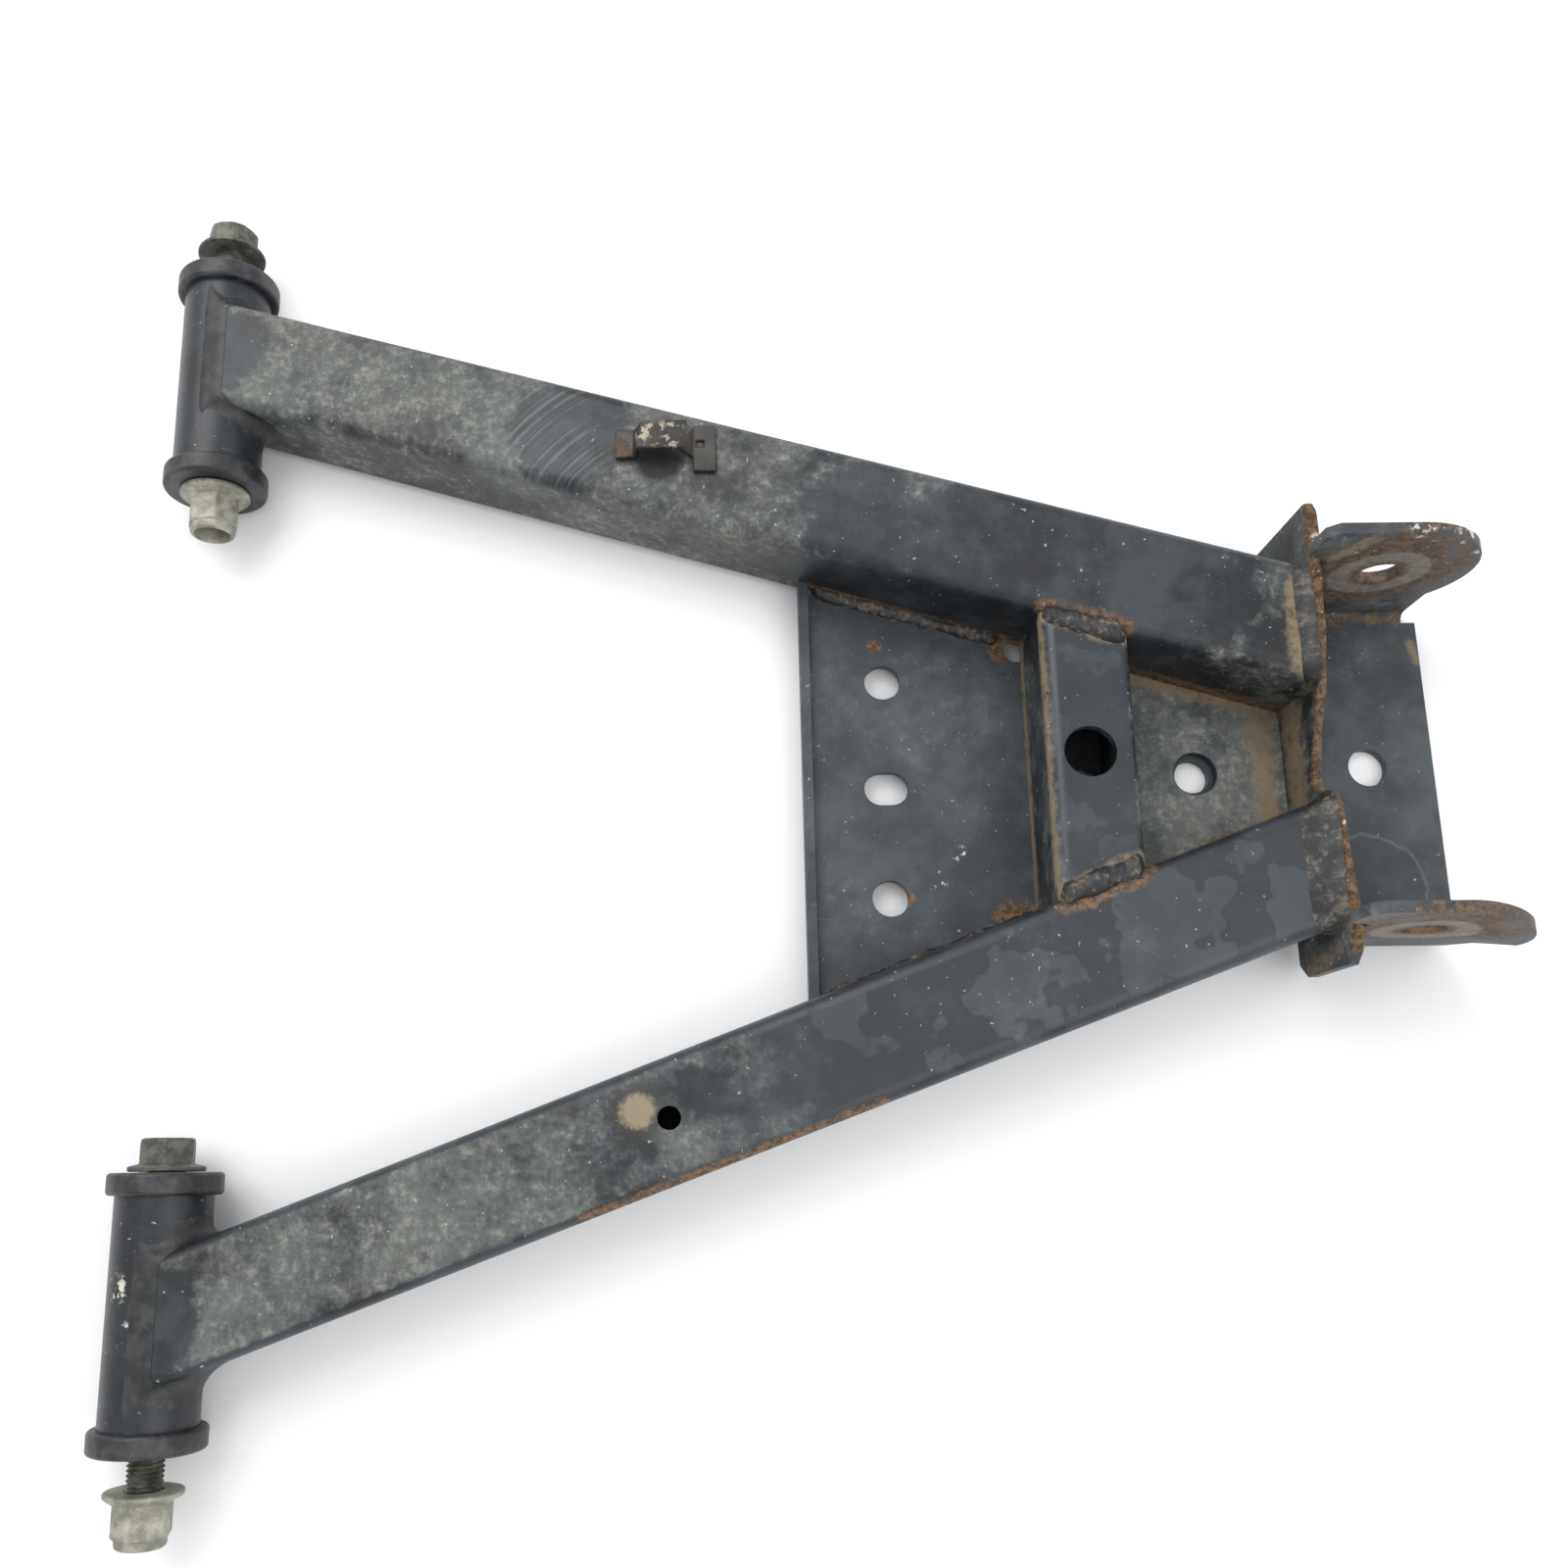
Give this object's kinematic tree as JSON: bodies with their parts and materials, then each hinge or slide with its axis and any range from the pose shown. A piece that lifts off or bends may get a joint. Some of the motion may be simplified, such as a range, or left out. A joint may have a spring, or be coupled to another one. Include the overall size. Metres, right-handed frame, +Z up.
{
  "type": "suspension A-arm",
  "caption": "Welded steel suspension A-arm: two tapered tubes from bushed pivots to a folded knuckle bracket, with a drilled gusset plate and a cross channel.",
  "frame": {"origin": "centre of the arm's footprint, on the surface it lies on", "axes": "+X from the pivot axis towards the knuckle bracket, +Y along the pivot axis towards the rear arm, +Z up from the surface"},
  "size_m": [0.3916, 0.3958, 0.061],
  "materials": {
    "black_paint": "worn satin black paint with dust, stains and chips",
    "rusty_weld": "painted weld bead with rust and dried mud",
    "bush_plastic": "dull black",
    "sleeve_steel": "turned, greasy",
    "zinc_plate": "dull olive zinc plating"
  },
  "bodies": {
    "root": {"rear_arm_tube": "black_paint", "front_arm_tube": "black_paint", "rear_pivot_tube": "black_paint", "front_pivot_tube": "black_paint", "gusset_plate": "black_paint", "cross_channel": "black_paint", "end_plate": "black_paint", "knuckle_bracket": "black_paint", "hose_clip": "black_paint", "rear_pivot_weld": "black_paint", "front_pivot_weld": "black_paint", "rear_gusset_weld": "rusty_weld", "front_gusset_weld": "rusty_weld", "rear_channel_weld": "rusty_weld", "front_channel_weld": "rusty_weld", "rear_end_weld": "rusty_weld", "front_end_weld": "rusty_weld", "ear_welds": "rusty_weld", "rear_bush_toward_rear": "bush_plastic", "rear_bush_toward_front": "bush_plastic", "front_bush_toward_rear": "bush_plastic", "front_bush_toward_front": "bush_plastic"},
    "rear_sleeve": {"rear_inner_sleeve": "sleeve_steel"},
    "front_sleeve": {"front_inner_sleeve": "sleeve_steel"},
    "rear_bolt": {"rear_pivot_bolt": "zinc_plate", "rear_pivot_nut": "zinc_plate"},
    "front_bolt": {"front_pivot_bolt": "zinc_plate", "front_pivot_nut": "zinc_plate"}
  },
  "joints": [
    {"name": "rear_sleeve_turn", "type": "hinge", "parent": "root", "child": "rear_sleeve", "pos_m": [-0.1802, 0.1425, 0.0156], "axis": [0, 1, 0], "continuous": true},
    {"name": "front_sleeve_turn", "type": "hinge", "parent": "root", "child": "front_sleeve", "pos_m": [-0.1802, -0.1375, 0.0156], "axis": [0, 1, 0], "continuous": true},
    {"name": "rear_bolt_slide", "type": "slide", "parent": "rear_sleeve", "child": "rear_bolt", "axis": [0, 1, 0], "range_m": [-0.0095, 0]},
    {"name": "front_bolt_slide", "type": "slide", "parent": "front_sleeve", "child": "front_bolt", "axis": [0, 1, 0], "range_m": [0, 0.0095]}
  ]
}
